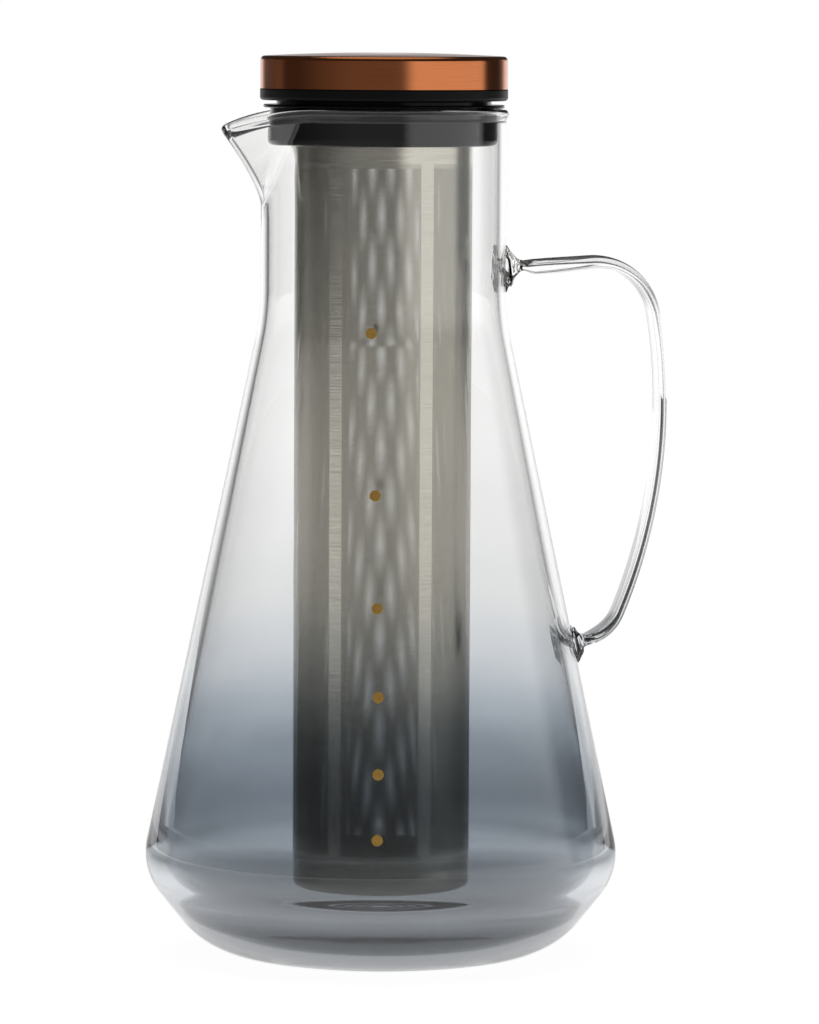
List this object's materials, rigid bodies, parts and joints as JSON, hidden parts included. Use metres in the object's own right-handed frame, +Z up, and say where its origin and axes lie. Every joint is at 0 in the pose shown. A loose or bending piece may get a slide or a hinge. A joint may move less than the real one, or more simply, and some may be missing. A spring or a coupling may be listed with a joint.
{
  "type": "cold brew coffee maker",
  "caption": "Glass carafe with a strap handle and a pulled spout; an etched steel filter hangs from a silicone collar in its neck under a copper-toned lid.",
  "frame": {"origin": "centre of the ring that the carafe stands on", "axes": "+Z up along the carafe's axis, +X towards the handle, -X towards the spout"},
  "size_m": [0.1575, 0.142, 0.2713],
  "materials": {
    "clear_glass": "polished",
    "amber_enamel": "satin",
    "black_silicone": "satin",
    "filter_steel": "satin",
    "etched_mesh": "matte",
    "copper_steel": "satin",
    "black_plastic": "matte"
  },
  "bodies": {
    "carafe": {"carafe_glass": "clear_glass", "handle_strap": "clear_glass", "handle_pad_upper": "clear_glass", "handle_pad_lower": "clear_glass", "level_marks": "amber_enamel"},
    "filter": {"seal_collar": "black_silicone", "filter_top_ring": "filter_steel", "filter_tube": "filter_steel", "mesh_panels": "etched_mesh", "filter_bottom_cup": "filter_steel"},
    "lid": {"lid_cap": "copper_steel", "lid_core": "black_plastic", "lid_ring": "black_silicone", "lid_seal": "black_silicone"}
  },
  "joints": [
    {"name": "filter_lift", "type": "slide", "parent": "carafe", "child": "filter", "axis": [0, 0, 1], "range_m": [0, 0.245]},
    {"name": "lid_lift", "type": "slide", "parent": "filter", "child": "lid", "axis": [0, 0, 1], "range_m": [0, 0.05]}
  ]
}
